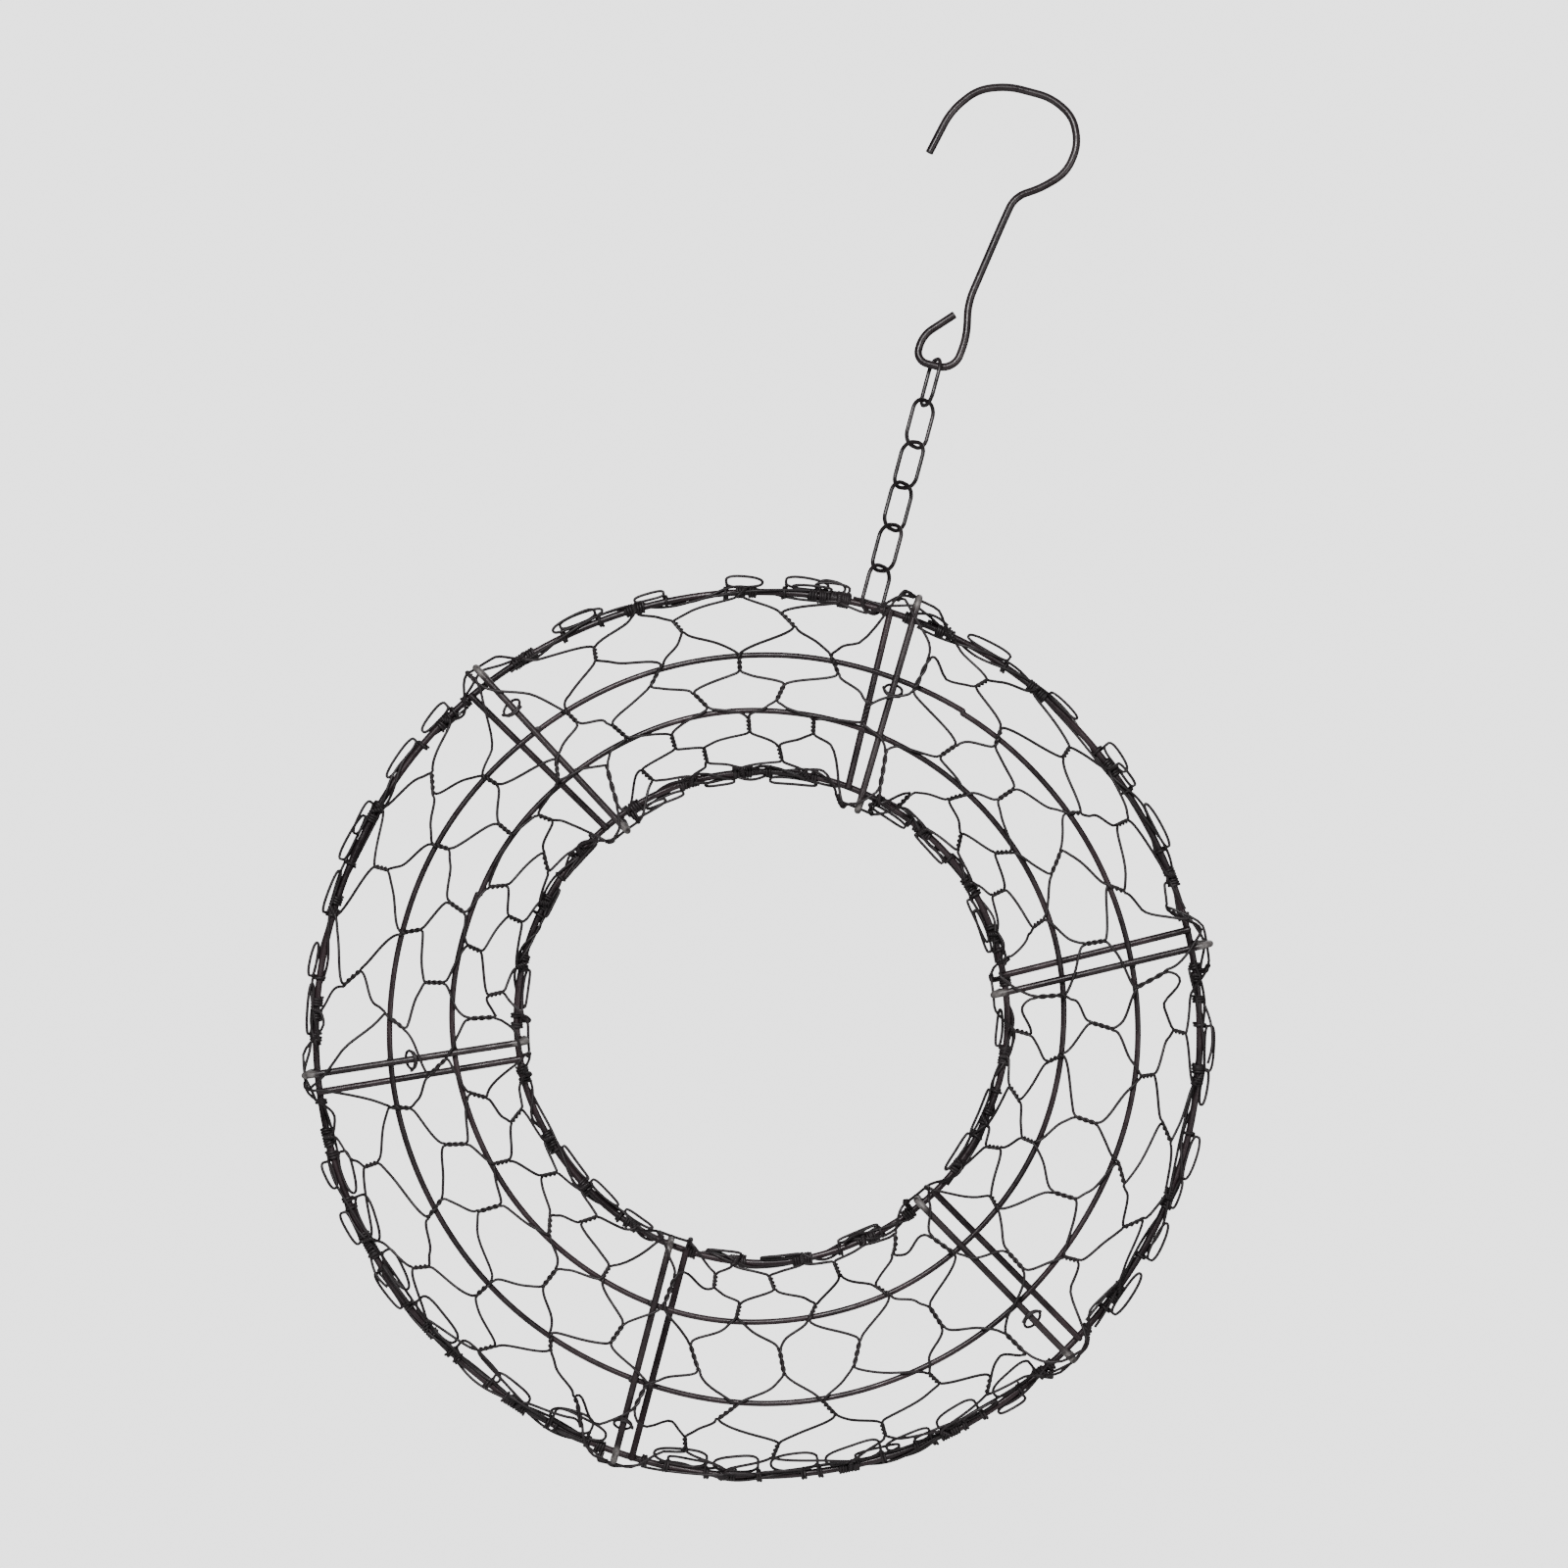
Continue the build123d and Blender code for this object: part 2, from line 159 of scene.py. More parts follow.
# ------------------------------------------------------------------ netting, as in the CAD model
NET_WIRE = 0.6 * MM         # a radius too; heavier than the CAD wire's 0.4, so that the netting shows
CELLS = 25                  # cells round the frame
FIRST_COLUMN = 7.2          # bearing of the outer rim's first twist
TWIST_HALF = 4.2 * MM       # half a twist's length
TWIST_TURNS = 2
TWIST_ROWS = (0.0, 0.46, 1.00, 1.60, 2.14, 2.60, 3.0)   # t of each row, from 0 at the outer rim
ROW_SWAY = (0.0, 0.06, 0.15, 0.16, 0.06, 0.0, 0.0)      # how much further in each row lies at one side
SWAY_BEARING = 150                                      # the bearing of that side
DRIFT_ANGLE = 1.5           # how far twists stray round the frame and along the strand
DRIFT_ALONG = 1.8 * MM
TENT_FULL = 6 * MM          # a rib holds the netting up in full to this far either side
TENT_FADE = 20 * MM         # and not at all beyond this
TENT_TURNS = (0.50, 0.60, 2.40, 2.50)   # where the netting turns over a rib's two front corners
TENT_SHOULDER = 2 * MM      # from a rib's middle back to where the netting leaves its corner
TENT_INSET = 0.5 * MM
PAST_RING = 0.8 * MM        # the netting turns this far past the front rings' middles
RIM_TURN_Y = -0.8 * MM      # it meets the rims this far in front of their plane
RIM_TWIST = 1.4             # length of the twists at the rims, against the others
RIM_T = 0.03                # those twists start this far from the rim, in t
TWIST_OFF_RIB = 5.2 * MM    # twists keep this far from the ribs
NET_LIFT = 0.35 * MM        # from the netting's wire to the wires it rests on
CURVE = 0.6                 # how far a free run is from straight towards an S
SLANT = 1.5                 # degrees a twist's two ends may stray apart round the frame


def along_runs(corners, t):
    """Where a line is at t; each of its corners is (t, (reach, y)), and its runs are straight."""
    for (t0, p0), (t1, p1) in zip(corners, corners[1:]):
        if t <= t1:
            share = (t - t0) / (t1 - t0)
            return p0[0] + (p1[0] - p0[0]) * share, p0[1] + (p1[1] - p0[1]) * share
    return corners[-1][1]


def off_rib(reach, bearing, t):
    """Signed distance round the frame from the nearest rib; t runs 0 to 3 from rim to rim."""
    share = min(max(t / 3, 0), 1)
    turns = []
    for rib in RIBS:
        turn = (rib.inner - rib.outer + 180) % 360 - 180
        turns.append((bearing - (rib.outer + turn * share) + 180) % 360 - 180)
    return math.radians(min(turns, key=abs)) * reach


def net_point(t, bearing):
    """A point of the netting: straight from ring to ring, lifted over the ribs like a tent."""
    outer, inner = OUTER_RIM.reach(bearing), INNER_RIM.reach(bearing)
    second, third = FRONT_OUTER.reach(bearing) + PAST_RING, FRONT_INNER.reach(bearing) - PAST_RING
    off_rim = OUTER_RIM.wire + NET_WIRE + NET_LIFT
    proud = BAR_WIRE + NET_WIRE + NET_LIFT
    leg = OUTER_RIM.wire + BAR_WIRE + proud
    face = FRONT_OUTER.y - FRONT_OUTER.wire - NET_WIRE - NET_LIFT
    tent_face, shoulder = RIB_Y - proud, RIB_Y + TENT_SHOULDER
    plain = along_runs(
        (
            (0, (outer + off_rim, RIM_TURN_Y)),
            (1, (second, face)),
            (2, (third, face)),
            (3, (inner - off_rim, RIM_TURN_Y)),
        ),
        t,
    )
    tent = along_runs(
        (
            (0, (outer + leg, RIM_TURN_Y)),
            (TENT_TURNS[0], (RIB_OUTER + proud, shoulder)),
            (TENT_TURNS[1], (RIB_OUTER - TENT_INSET, tent_face)),
            (1, (second, tent_face)),
            (2, (third, tent_face)),
            (TENT_TURNS[2], (RIB_INNER + TENT_INSET, tent_face)),
            (TENT_TURNS[3], (RIB_INNER - proud, shoulder)),
            (3, (inner - leg, RIM_TURN_Y)),
        ),
        t,
    )
    off = abs(off_rib(plain[0], bearing, t))
    lift = min(max((TENT_FADE - off) / (TENT_FADE - TENT_FULL), 0), 1)
    lift = lift * lift * (3 - 2 * lift)
    reach, y = (p + (q - p) * lift for p, q in zip(plain, tent))
    return polar(reach, bearing, y)


def stray(column, row, seed):
    """A repeatable irregularity between -1 and 1, as hand-stretched netting has."""
    column %= CELLS
    return 0.5 * math.sin(2.3 * column + 1.7 * row + seed) + 0.5 * math.sin(
        5.1 * column - 2.9 * row + 2 * seed
    )


def t_per_metre(t):
    """How much t changes for a metre along the strand."""
    depth = -FRONT_OUTER.y
    if t < 1:
        return 1 / math.hypot(depth, OUTER_RIM.radius - FRONT_OUTER.radius)
    if t < 2:
        return 1 / (FRONT_OUTER.radius - FRONT_INNER.radius)
    return 1 / math.hypot(depth, FRONT_INNER.radius - INNER_RIM.radius)


def twist(row, column):
    """A twist's two ends along the strand, then their bearings."""
    last = len(TWIST_ROWS) - 1
    bearing = FIRST_COLUMN + (2 * column - row % 2) * 180 / CELLS
    t = TWIST_ROWS[row] + ROW_SWAY[row] * math.cos(math.radians(bearing - SWAY_BEARING))
    bearing += DRIFT_ANGLE * stray(column, row, 0.4)
    reach = OUTER_RIM.radius + (INNER_RIM.radius - OUTER_RIM.radius) * t / 3
    off = off_rib(reach, bearing, t)
    if abs(off) < TWIST_OFF_RIB:
        bearing += math.degrees((math.copysign(TWIST_OFF_RIB, off) - off) / reach)
    half = TWIST_HALF * t_per_metre(t)
    slant = SLANT * stray(column, row, 5.3)
    if row == 0:
        return RIM_T, RIM_TWIST * half, bearing, bearing + slant
    if row == last:
        return 3 - RIM_TWIST * half, 3 - RIM_T, bearing - slant, bearing
    t += DRIFT_ALONG * stray(column, row, 1.9) * t_per_metre(t)
    return t - half, t + half, bearing - slant, bearing + slant


# ------------------------------------------------------------------ wire meshes
def unit(v):
    """A vector of the same direction, one long."""
    return v / max(np.linalg.norm(v), 1e-12)


class WireMesh:
    """Round wires gathered into one mesh, each a closed tube with flat cut ends."""

    def __init__(self):
        self.points, self.faces = [], []

    def add(self, line, radius, sides=8):
        line = np.asarray(line, float)
        count = len(line)
        ahead = np.gradient(line, axis=0)
        normal = np.cross(ahead[0], (0.3, 0.5, 0.8))
        angles = np.arange(sides) * 2 * math.pi / sides
        start = len(self.points)
        for point, tangent in zip(line, ahead):
            tangent = unit(tangent)
            normal = unit(normal - tangent * (normal @ tangent))
            side = np.cross(tangent, normal)
            for angle in angles:
                self.points.append(point + radius * (math.cos(angle) * normal + math.sin(angle) * side))
        for i in range(count - 1):
            low, high = start + i * sides, start + (i + 1) * sides
            for k in range(sides):
                n = (k + 1) % sides
                self.faces.append((low + k, low + n, high + n, high + k))
        self.faces.append(tuple(start + k for k in reversed(range(sides))))
        self.faces.append(tuple(start + (count - 1) * sides + k for k in range(sides)))

    def add_bead(self, centre, axes, rng, rough):
        """A small lump of weld metal: a squashed ball with an uneven skin."""
        rows, cols = 7, 12
        start = len(self.points)
        centre, axes = np.asarray(centre), [np.asarray(a) for a in axes]
        self.points.append(centre - axes[2])
        for r in range(1, rows):
            tilt = -math.pi / 2 + math.pi * r / rows
            for c in range(cols):
                a = 2 * math.pi * c / cols
                swell = 1 + rng.uniform(-rough, rough)
                out = axes[0] * math.cos(a) + axes[1] * math.sin(a)
                self.points.append(centre + swell * (out * math.cos(tilt) + axes[2] * math.sin(tilt)))
        self.points.append(centre + axes[2])
        top = len(self.points) - 1
        for c in range(cols):
            n = (c + 1) % cols
            self.faces.append((start, start + 1 + n, start + 1 + c))
            for r in range(rows - 2):
                low, high = start + 1 + r * cols, start + 1 + (r + 1) * cols
                self.faces.append((low + c, low + n, high + n, high + c))
            self.faces.append((top - cols + c, top - cols + n, top))

    def piece(self, name, body, slot, material, replaces=()):
        """Makes the mesh, tips it as the wreath hangs, and tells the frame what it belongs to."""
        mesh = bpy.data.meshes.new(name)
        mesh.from_pydata(tipped(self.points, TILT).tolist(), [], self.faces)
        mesh.validate()
        mesh.shade_smooth()
        mesh.set_sharp_from_angle(angle=math.radians(55))
        mesh.materials.append(material)
        thing = bpy.data.objects.new(name, mesh)
        bpy.context.scene.collection.objects.link(thing)
        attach(thing, body)
        if replaces:
            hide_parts(*replaces)


def smoothed(line, passes):
    """Evens out a line's corners; its ends stay where they are."""
    line = np.array(line, float)
    for _ in range(passes):
        line[1:-1] = 0.25 * line[:-2] + 0.5 * line[1:-1] + 0.25 * line[2:]
    return line


# ------------------------------------------------------------------ netting pieces
SNUG = 0.06 * MM            # gap under a strand's turns round a rim
FLARE_TURN = 0.16           # the last part of a turn, in which a cut end stands off
TWIN_SHIFT = 6.5 * MM       # closer than this to a bar, a strand's turns run away from the bar
EDGE_GAP = 0.1 * MM         # gap under the netting's edge wires
TWIST_PACK = 0.9            # a twist's two strands lie this close, against just touching


def blocked(rim, bearing):
    """Signed distance along a rim to the nearest rib leg or back bar."""
    marks = []
    for bar in RIBS + BACK_BARS:
        mark = bar.outer if rim is OUTER_RIM else bar.inner
        marks.append((bearing - mark + 180) % 360 - 180)
    return math.radians(min(marks, key=abs)) * rim.radius


def wrap(rim, bearing, turns, way, spread=1.1 * MM, first=43.0, flare=0.3 * MM, extra=0.0):
    """Turns of thin wire round a rim, from where a strand arrives in front to its cut end.

    spread is from turn to turn along the rim, first is the turn's starting angle, flare is how far the cut
    end stands off in its last part of a turn, and extra is a gap under all the turns.
    """
    outward = 1 if rim is OUTER_RIM else -1
    steps = max(8, int(turns * 14))
    base = rim.wire + NET_WIRE + SNUG + extra
    line = []
    for i in range(steps + 1):
        share = i / steps
        turned = math.radians(first - 360 * turns * share)
        here = bearing + way * math.degrees(spread * turns * share / rim.radius)
        size = base + flare * max(0, share * turns - turns + FLARE_TURN) / FLARE_TURN
        reach = rim.reach(here) + outward * size * math.cos(turned)
        line.append(polar(reach, here, rim.y - size * math.sin(turned)))
    return line


def wrap_way(rim, bearing, side):
    """A strand's turns run away from its twin, or away from a bar that is close."""
    off = blocked(rim, bearing)
    return math.copysign(1, off) if abs(off) < TWIN_SHIFT else side


def strand_line(j, rng):
    """Strand j from its cut end on the outer rim to its cut end on the inner rim."""
    rows = []
    for row in range(len(TWIST_ROWS)):
        column = (j + 1) // 2 if row % 2 else j // 2
        side = (1 if j % 2 else -1) * (-1 if row % 2 else 1)
        rows.append((*twist(row, column), side))
    line = []
    offset = NET_WIRE * TWIST_PACK
    for row, (t0, t1, first, last, side) in enumerate(rows):
        steps = 9 * TWIST_TURNS
        for i in range(steps + 1):
            share = i / steps
            t, bearing = t0 + (t1 - t0) * share, first + (last - first) * share
            here = net_point(t, bearing)
            ahead = unit(net_point(t + 0.02, bearing) - net_point(t - 0.02, bearing))
            round_way = along_ring(bearing)
            across = unit(round_way - ahead * (round_way @ ahead)) * side
            out = np.cross(ahead, across)
            turn = 2 * math.pi * TWIST_TURNS * share
            line.append(here + offset * (across * math.cos(turn) + out * math.sin(turn)))
        if row + 1 < len(rows):
            free = diagonal(rows[row], rows[row + 1], j, row)
            line[-2:] = smoothed(line[-3:] + free[:2], 1)[1:3]
            line += free
    outer_way = wrap_way(OUTER_RIM, rows[0][2], rows[0][4])
    inner_way = wrap_way(INNER_RIM, rows[-1][3], rows[-1][4])
    shift = math.degrees(offset / OUTER_RIM.radius)
    start = wrap(OUTER_RIM, rows[0][2] + rows[0][4] * shift, rng.uniform(2.2, 3.8), outer_way)
    end = wrap(INNER_RIM, rows[-1][3] + rows[-1][4] * 2 * shift, rng.uniform(1.8, 3.2), inner_way)
    return start[::-1] + line + end


def diagonal(this, after, j, row):
    """The free run of a strand from one twist to the next, bowed a little."""
    _, t0, _, b0, side0 = this
    t1, _, b1, _, side1 = after
    gap = math.degrees(NET_WIRE / OUTER_RIM.radius)
    b0, b1 = b0 + side0 * gap, b1 + side1 * gap
    steps = 14
    bow, wave = 1.0 * stray(j, row, 3.1), 0.4 * stray(j, row, 7.7)
    line = []
    for i in range(1, steps):
        share = i / steps
        eased = (1 - CURVE) * share + CURVE * share * share * (3 - 2 * share)
        swing = bow * math.sin(math.pi * share) + wave * math.sin(3 * math.pi * share)
        line.append(net_point(t0 + (t1 - t0) * share, b0 + (b1 - b0) * eased + swing))
    return line


def bay_of(bearing):
    """Which bay between two ribs a bearing falls in."""
    marks = [(rib.outer + rib.inner) / 2 for rib in RIBS]
    behind = [(mark - bearing) % 360 for mark in marks]
    return behind.index(min(behind))


def make_netting(material):
    rng = random.Random(11)
    bays = [WireMesh() for _ in RIBS]
    for j in range(2 * CELLS):
        bay = bays[bay_of(FIRST_COLUMN + (j - 0.5) * 180 / CELLS)]
        bay.add(strand_line(j, rng), NET_WIRE)
    for k, bay in enumerate(bays):
        bay.piece(f"netting_{k + 1}", "frame", "net_wire", material, [f"netting_bay_{k + 1}"])


def near_chain(bearing):
    """Whether the last link is too close for an end of the netting."""
    return abs((bearing - CHAIN_BEARING + 180) % 360 - 180) < math.degrees(CHAIN_CLEAR / OUTER_RIM.radius)


def rim_point(rim, bearing, size, turned):
    """A point off a rim's centreline: away from the wreath's band at 0 degrees, in front of it at 90."""
    outward = 1 if rim is OUTER_RIM else -1
    a = math.radians(turned)
    return polar(rim.reach(bearing) + outward * size * math.cos(a), bearing, rim.y - size * math.sin(a))


LOOP_RISE = (0.05, 0.22)    # share of its height by which a loop is higher near its start, lower far off
LOOP_SQUARE = (2.4, 3.6)    # 2 would be an ellipse, more is nearer a rectangle
LOOP_CLOSED = 1.93          # half turns from a loop's start to its end
LOOP_TURNS = (1.0, 1.6)     # of each end round the rim


def edge_loop(rim, start, length, height, lean, rng):
    """A hairpin of the netting's edge: flattened, lying along the rim, both ends turned round it."""
    base = rim.wire + NET_WIRE + EDGE_GAP
    way = math.copysign(1, length)
    degree = math.degrees(1 / rim.radius)
    rise, squareness = rng.uniform(*LOOP_RISE), rng.uniform(*LOOP_SQUARE)
    steps = 30
    line = []
    for i in range(steps + 1):
        round_it = math.pi * (1.0 - LOOP_CLOSED * i / steps)
        u, v = math.cos(round_it), math.sin(round_it)
        size = (abs(u) ** squareness + abs(v) ** squareness) ** (-1 / squareness)
        along, off = (1 + u * size) / 2, (1 + v * size) / 2
        tilt = 1 + rise * (0.5 - along) * 2
        bearing = start + length * along * degree
        line.append(rim_point(rim, bearing, base + height * off * tilt, lean))
    near = start + 0.04 * length * degree
    head = wrap(rim, near, rng.uniform(*LOOP_TURNS), -way, first=lean)[::-1]
    tail = wrap(rim, near, rng.uniform(*LOOP_TURNS), -way, first=lean, extra=0.2 * MM)
    return list(smoothed(head + line[1:] + tail, 1))


LOOP_LEAN = (-35, 55)       # degrees from straight outwards towards the front
FOOT_LEAN = (80, 150)       # at the wreath's foot the loops lie in front of the rim and inside it
FOOT_BEARING, FOOT_SPREAD = 275, 42
LEG_MARGIN = 3.2 * MM       # loops keep this far from the ribs' legs and the bars' ends
SLACK_FROM, SLACK_TO = 204, 330     # bearings between which the netting is slack
SLACK_COUNT = 17
SLACK_TURN = 262            # past this bearing the slack cells lie the other way
SLACK_LEAN = (128, 140)
EDGE_LOOPS = (              # rim, piece, how many, height of the tallest in mm, seed
    (OUTER_RIM, "netting_edge_outer", 46, 4.6, 5),
    (INNER_RIM, "netting_edge_inner", 32, 3.2, 8),
)


def make_edge_loops(material):
    """Hairpins that stand proud of both rims beside the knots."""
    for rim, name, count, tallest, seed in EDGE_LOOPS:
        rng = random.Random(seed)
        wires = WireMesh()
        for i in range(count):
            start = (i + rng.uniform(-0.2, 0.2)) * 360 / count
            length = rng.uniform(11, 20) * MM * rng.choice((-1, 1))
            height = rng.uniform(0.5, 1.0) * tallest * MM
            at_foot = rim is OUTER_RIM and abs(start % 360 - FOOT_BEARING) < FOOT_SPREAD
            lean = rng.uniform(*(FOOT_LEAN if at_foot else LOOP_LEAN))
            end = start + math.degrees(length / rim.radius)
            over_chain = any(near_chain(start + (end - start) * share) for share in (-0.1, 0.3, 0.7, 1))
            if (rim is OUTER_RIM and over_chain) or crosses_leg(rim, min(start, end), max(start, end)):
                continue
            wires.add(edge_loop(rim, start, length, height, lean, rng), NET_WIRE)
        wires.piece(name, "frame", "net_wire", material)


def make_slack(material):
    """Slack cells of the netting at the wreath's foot, drawn down against the outer rim's front."""
    rng = random.Random(31)
    wires = WireMesh()
    for i in range(SLACK_COUNT):
        start = SLACK_FROM + (SLACK_TO - SLACK_FROM) * (i + rng.uniform(-0.15, 0.15)) / SLACK_COUNT
        length = rng.uniform(17, 23) * MM * (-1 if start > SLACK_TURN else 1)
        height = rng.uniform(8, 13) * MM
        end = start + math.degrees(length / OUTER_RIM.radius)
        if crosses_leg(OUTER_RIM, min(start, end), max(start, end)):
            continue
        wires.add(edge_loop(OUTER_RIM, start, length, height, rng.uniform(*SLACK_LEAN), rng), NET_WIRE)
    wires.piece("netting_slack", "frame", "net_wire", material)


def crosses_leg(rim, first, last):
    """Whether a rib's leg or a bar's end stands between two bearings, or close to them."""
    margin = math.degrees(LEG_MARGIN / rim.radius)
    marks = [bar.outer if rim is OUTER_RIM else bar.inner for bar in RIBS + BACK_BARS]
    return any((mark - first + margin) % 360 < last - first + 2 * margin for mark in marks)


KNOT_LEAN = 20              # degrees that the knots beside a rib lie in front of the rim's outside


def rib_loop(rib, rng):
    """The netting's edge stretched round the outer leg of a rib, from a knot on each side."""
    leg, knot = rib.outer, OUTER_RIM.wire + 1.2 * NET_WIRE
    out = 2 * BAR_WIRE + OUTER_RIM.wire + NET_WIRE
    degree = math.degrees(1 / OUTER_RIM.radius)
    lean = rng.uniform(15, 26)
    spread = rng.uniform(8.5, 12) * MM * degree
    low, high = leg - spread, leg + spread * 0.95
    near = 2.2 * MM * degree
    line = []
    for bearing, size, turned in (
        (low, knot, KNOT_LEAN),
        (low + 0.3 * spread, OUTER_RIM.wire + rng.uniform(1.2, 2.4) * MM, KNOT_LEAN + 5),
        (leg - near, out + rng.uniform(0.2, 1.0) * MM, lean),
        (leg, out + rng.uniform(0.6, 1.4) * MM, lean - 2),
        (leg + near, out + rng.uniform(0.2, 0.8) * MM, lean),
        (high - 0.3 * spread, OUTER_RIM.wire + rng.uniform(1.2, 2.4) * MM, KNOT_LEAN + 5),
        (high, knot, KNOT_LEAN),
    ):
        line.append(rim_point(OUTER_RIM, bearing, size, turned))
    fine = []
    for a, b in zip(line, line[1:]):
        fine += [a + (b - a) * i / 6 for i in range(6)]
    fine = list(smoothed(fine + [line[-1]], 14))
    head = wrap(OUTER_RIM, low, rng.uniform(1.4, 2.3), -1, first=KNOT_LEAN)[::-1]
    tail = wrap(OUTER_RIM, high, rng.uniform(1.4, 2.3), 1, first=KNOT_LEAN)
    return head[:-1] + fine + tail[1:]


def make_rib_loops(material):
    rng = random.Random(17)
    wires = WireMesh()
    for rib in RIBS:
        wires.add(rib_loop(rib, rng), NET_WIRE)
    wires.piece("netting_rib_loops", "frame", "net_wire", material)


LOOSE_LEAN = (18, 58)       # a loose end leans forward from the first to the second, in degrees
LOOSE_BEND = 2.1            # radians of the sine that it stands off by


def loose_end(rim, bearing, way, length, out, rng):
    """A cut end of the edge wire that stands off the rim in a long bend."""
    low, high = LOOSE_LEAN
    degree = math.degrees(1 / rim.radius)
    base = rim.wire + NET_WIRE + EDGE_GAP
    line = []
    for i in range(17):
        share = i / 16
        size = base + out * math.sin(LOOSE_BEND * share)
        here = bearing + way * length * degree * share
        line.append(rim_point(rim, here, size, low + (high - low) * share))
    return wrap(rim, bearing, rng.uniform(2.0, 2.8), -way, first=low, flare=0)[::-1] + line[1:]


# Strands wound on the outer rim beside the chain: bearing, turns, and mm from turn to turn.
BUNCH_WINDINGS = ((93.0, 5.2, 0.95), (94.6, 4.4, 1.3), (96.0, 3.6, 1.0), (98.6, 3.4, -1.2))
# Loops among them: bearing, length and height in mm, and lean in degrees.
BUNCH_LOOPS = ((93.2, 14, 4.0, 18), (97.4, -11, 5.0, -15), (95.5, 16, 2.6, 40))
# Loose cut ends round both rims: bearing, which way, and length and standing-off in mm.
LOOSE_ENDS = (
    (OUTER_RIM, 17.5, -1, 24, 4.5),
    (OUTER_RIM, 84.5, -1, 15, 4.0),
    (OUTER_RIM, 226, 1, 13, 2.6),
    (INNER_RIM, 104, 1, 10, 2.4),
    (INNER_RIM, 312, -1, 11, 2.8),
)


def make_bunch(material):
    """The gathered end of the netting, wound round the rim beside the chain, and the loose cut ends."""
    rng = random.Random(23)
    wires = WireMesh()
    for start, turns, spread in BUNCH_WINDINGS:
        way = math.copysign(1, spread)
        first, extra = rng.uniform(-60, 60), rng.uniform(0.0, 0.75) * MM
        line = wrap(OUTER_RIM, start, turns, way, spread=abs(spread) * MM, first=first, extra=extra)
        wires.add(line, NET_WIRE)
    for start, length, height, lean in BUNCH_LOOPS:
        wires.add(edge_loop(OUTER_RIM, start, length * MM, height * MM, lean, rng), NET_WIRE)
    for rim, bearing, way, length, out in LOOSE_ENDS:
        wires.add(loose_end(rim, bearing, way, length * MM, out * MM, rng), NET_WIRE)
    wires.piece("netting_bunch", "frame", "net_wire", material)


SHORTEST_ARC = 8            # degrees; a shorter stretch between two bars has no edge wire


def clear_arcs(rim, margin):
    """Stretches of a rim between the bars, the ribs' legs and the chain, as (start, end) bearings."""
    marks = [(bar.outer if rim is OUTER_RIM else bar.inner) % 360 for bar in RIBS + BACK_BARS]
    gap = math.degrees(margin / rim.radius)
    if rim is OUTER_RIM:
        marks.append(CHAIN_BEARING)
    marks.sort()
    arcs = []
    for here, after in zip(marks, marks[1:] + [marks[0] + 360]):
        wide = gap * 2.0 if rim is OUTER_RIM else gap
        first = here + (wide if here == CHAIN_BEARING else gap)
        last = after - (wide if after == CHAIN_BEARING else gap)
        if last - first > SHORTEST_ARC:
            arcs.append((first, last))
    return arcs


def lacing_line(rim, first, last, pitch, turned, loose, rng):
    """Edge wire that runs along a rim and winds slowly round it."""
    outward = 1 if rim is OUTER_RIM else -1
    length = math.radians(last - first) * rim.radius
    steps = int(length / LACING_STEP)
    phase = rng.uniform(0, 6.28)
    line = []
    for i in range(steps + 1):
        share = i / steps
        angle = turned + 2 * math.pi * length * share / pitch + LACING_WANDER * math.sin(9 * share + phase)
        size = rim.wire + NET_WIRE * 1.1 + loose * (0.5 + 0.5 * math.sin(23 * share + 2 * phase))
        bearing = first + (last - first) * share
        reach = rim.reach(bearing) + outward * size * math.cos(angle)
        line.append(polar(reach, bearing, rim.y - size * math.sin(angle)))
    return line


LACING_GAP = 3.4 * MM       # edge wires end this far from the bars and the ribs' legs
LACING_STEP = 1.6 * MM
LACING_WANDER = 0.7         # radians that a ply strays from an even winding
LACING = (                  # rim, piece, each ply's pitch and looseness in mm, seed
    (OUTER_RIM, "netting_selvedge_outer", ((58, 0.3), (90, 0.6)), 3),
    (INNER_RIM, "netting_selvedge_inner", ((34, 0.3), (52, 0.5)), 4),
)


def make_lacing(material):
    """Strands of the netting's edge laid along the rims; the inner rim carries more of them."""
    for rim, name, plies, seed in LACING:
        rng = random.Random(seed)
        wires = WireMesh()
        for first, last in clear_arcs(rim, LACING_GAP):
            for pitch, loose in plies:
                turned = rng.uniform(0, 6.28)
                ends = first + rng.uniform(0, 3), last - rng.uniform(0, 3)
                line = lacing_line(rim, *ends, pitch * MM, turned, loose * MM, rng)
                wires.add(line, NET_WIRE)
        if rim is OUTER_RIM:
            for turned, reach_over in ((-25, 8), (35, 7)):
                wires.add(through_link(turned, reach_over * MM), NET_WIRE)
        wires.piece(name, "frame", "net_wire", material)


def through_link(turned, reach_over):
    """Edge wire that follows the rim through the last link, on the side away from the link's end."""
    spread = math.degrees(reach_over / OUTER_RIM.radius)
    size = OUTER_RIM.wire + NET_WIRE * 1.15
    return [
        rim_point(OUTER_RIM, CHAIN_BEARING + spread * (i / 10 - 1), size, turned + 10 * math.sin(i / 3))
        for i in range(21)
    ]


# ------------------------------------------------------------------ tie wires
TIE_GAP = 0.15 * MM         # between a tie and the front of its rib
TIE_WIDE = (3.5, 4.1)       # mm from a curl's middle across the rib, and along it
TIE_LONG = (1.9, 2.5)
TIE_OFF = (-0.4, 0.4)       # mm from the rib's middle to the curl's
TIE_TURNS = (1.15, 1.4)
TIE_START = 150             # degrees round the rib
TIE_ADVANCE = 1.3 * MM      # a curl moves this far along its rib, and closes up by a fifth
TIE_CLOSING = 0.2
TIE_ENDS = (1.4, 2.4)       # mm that the cut ends stand off


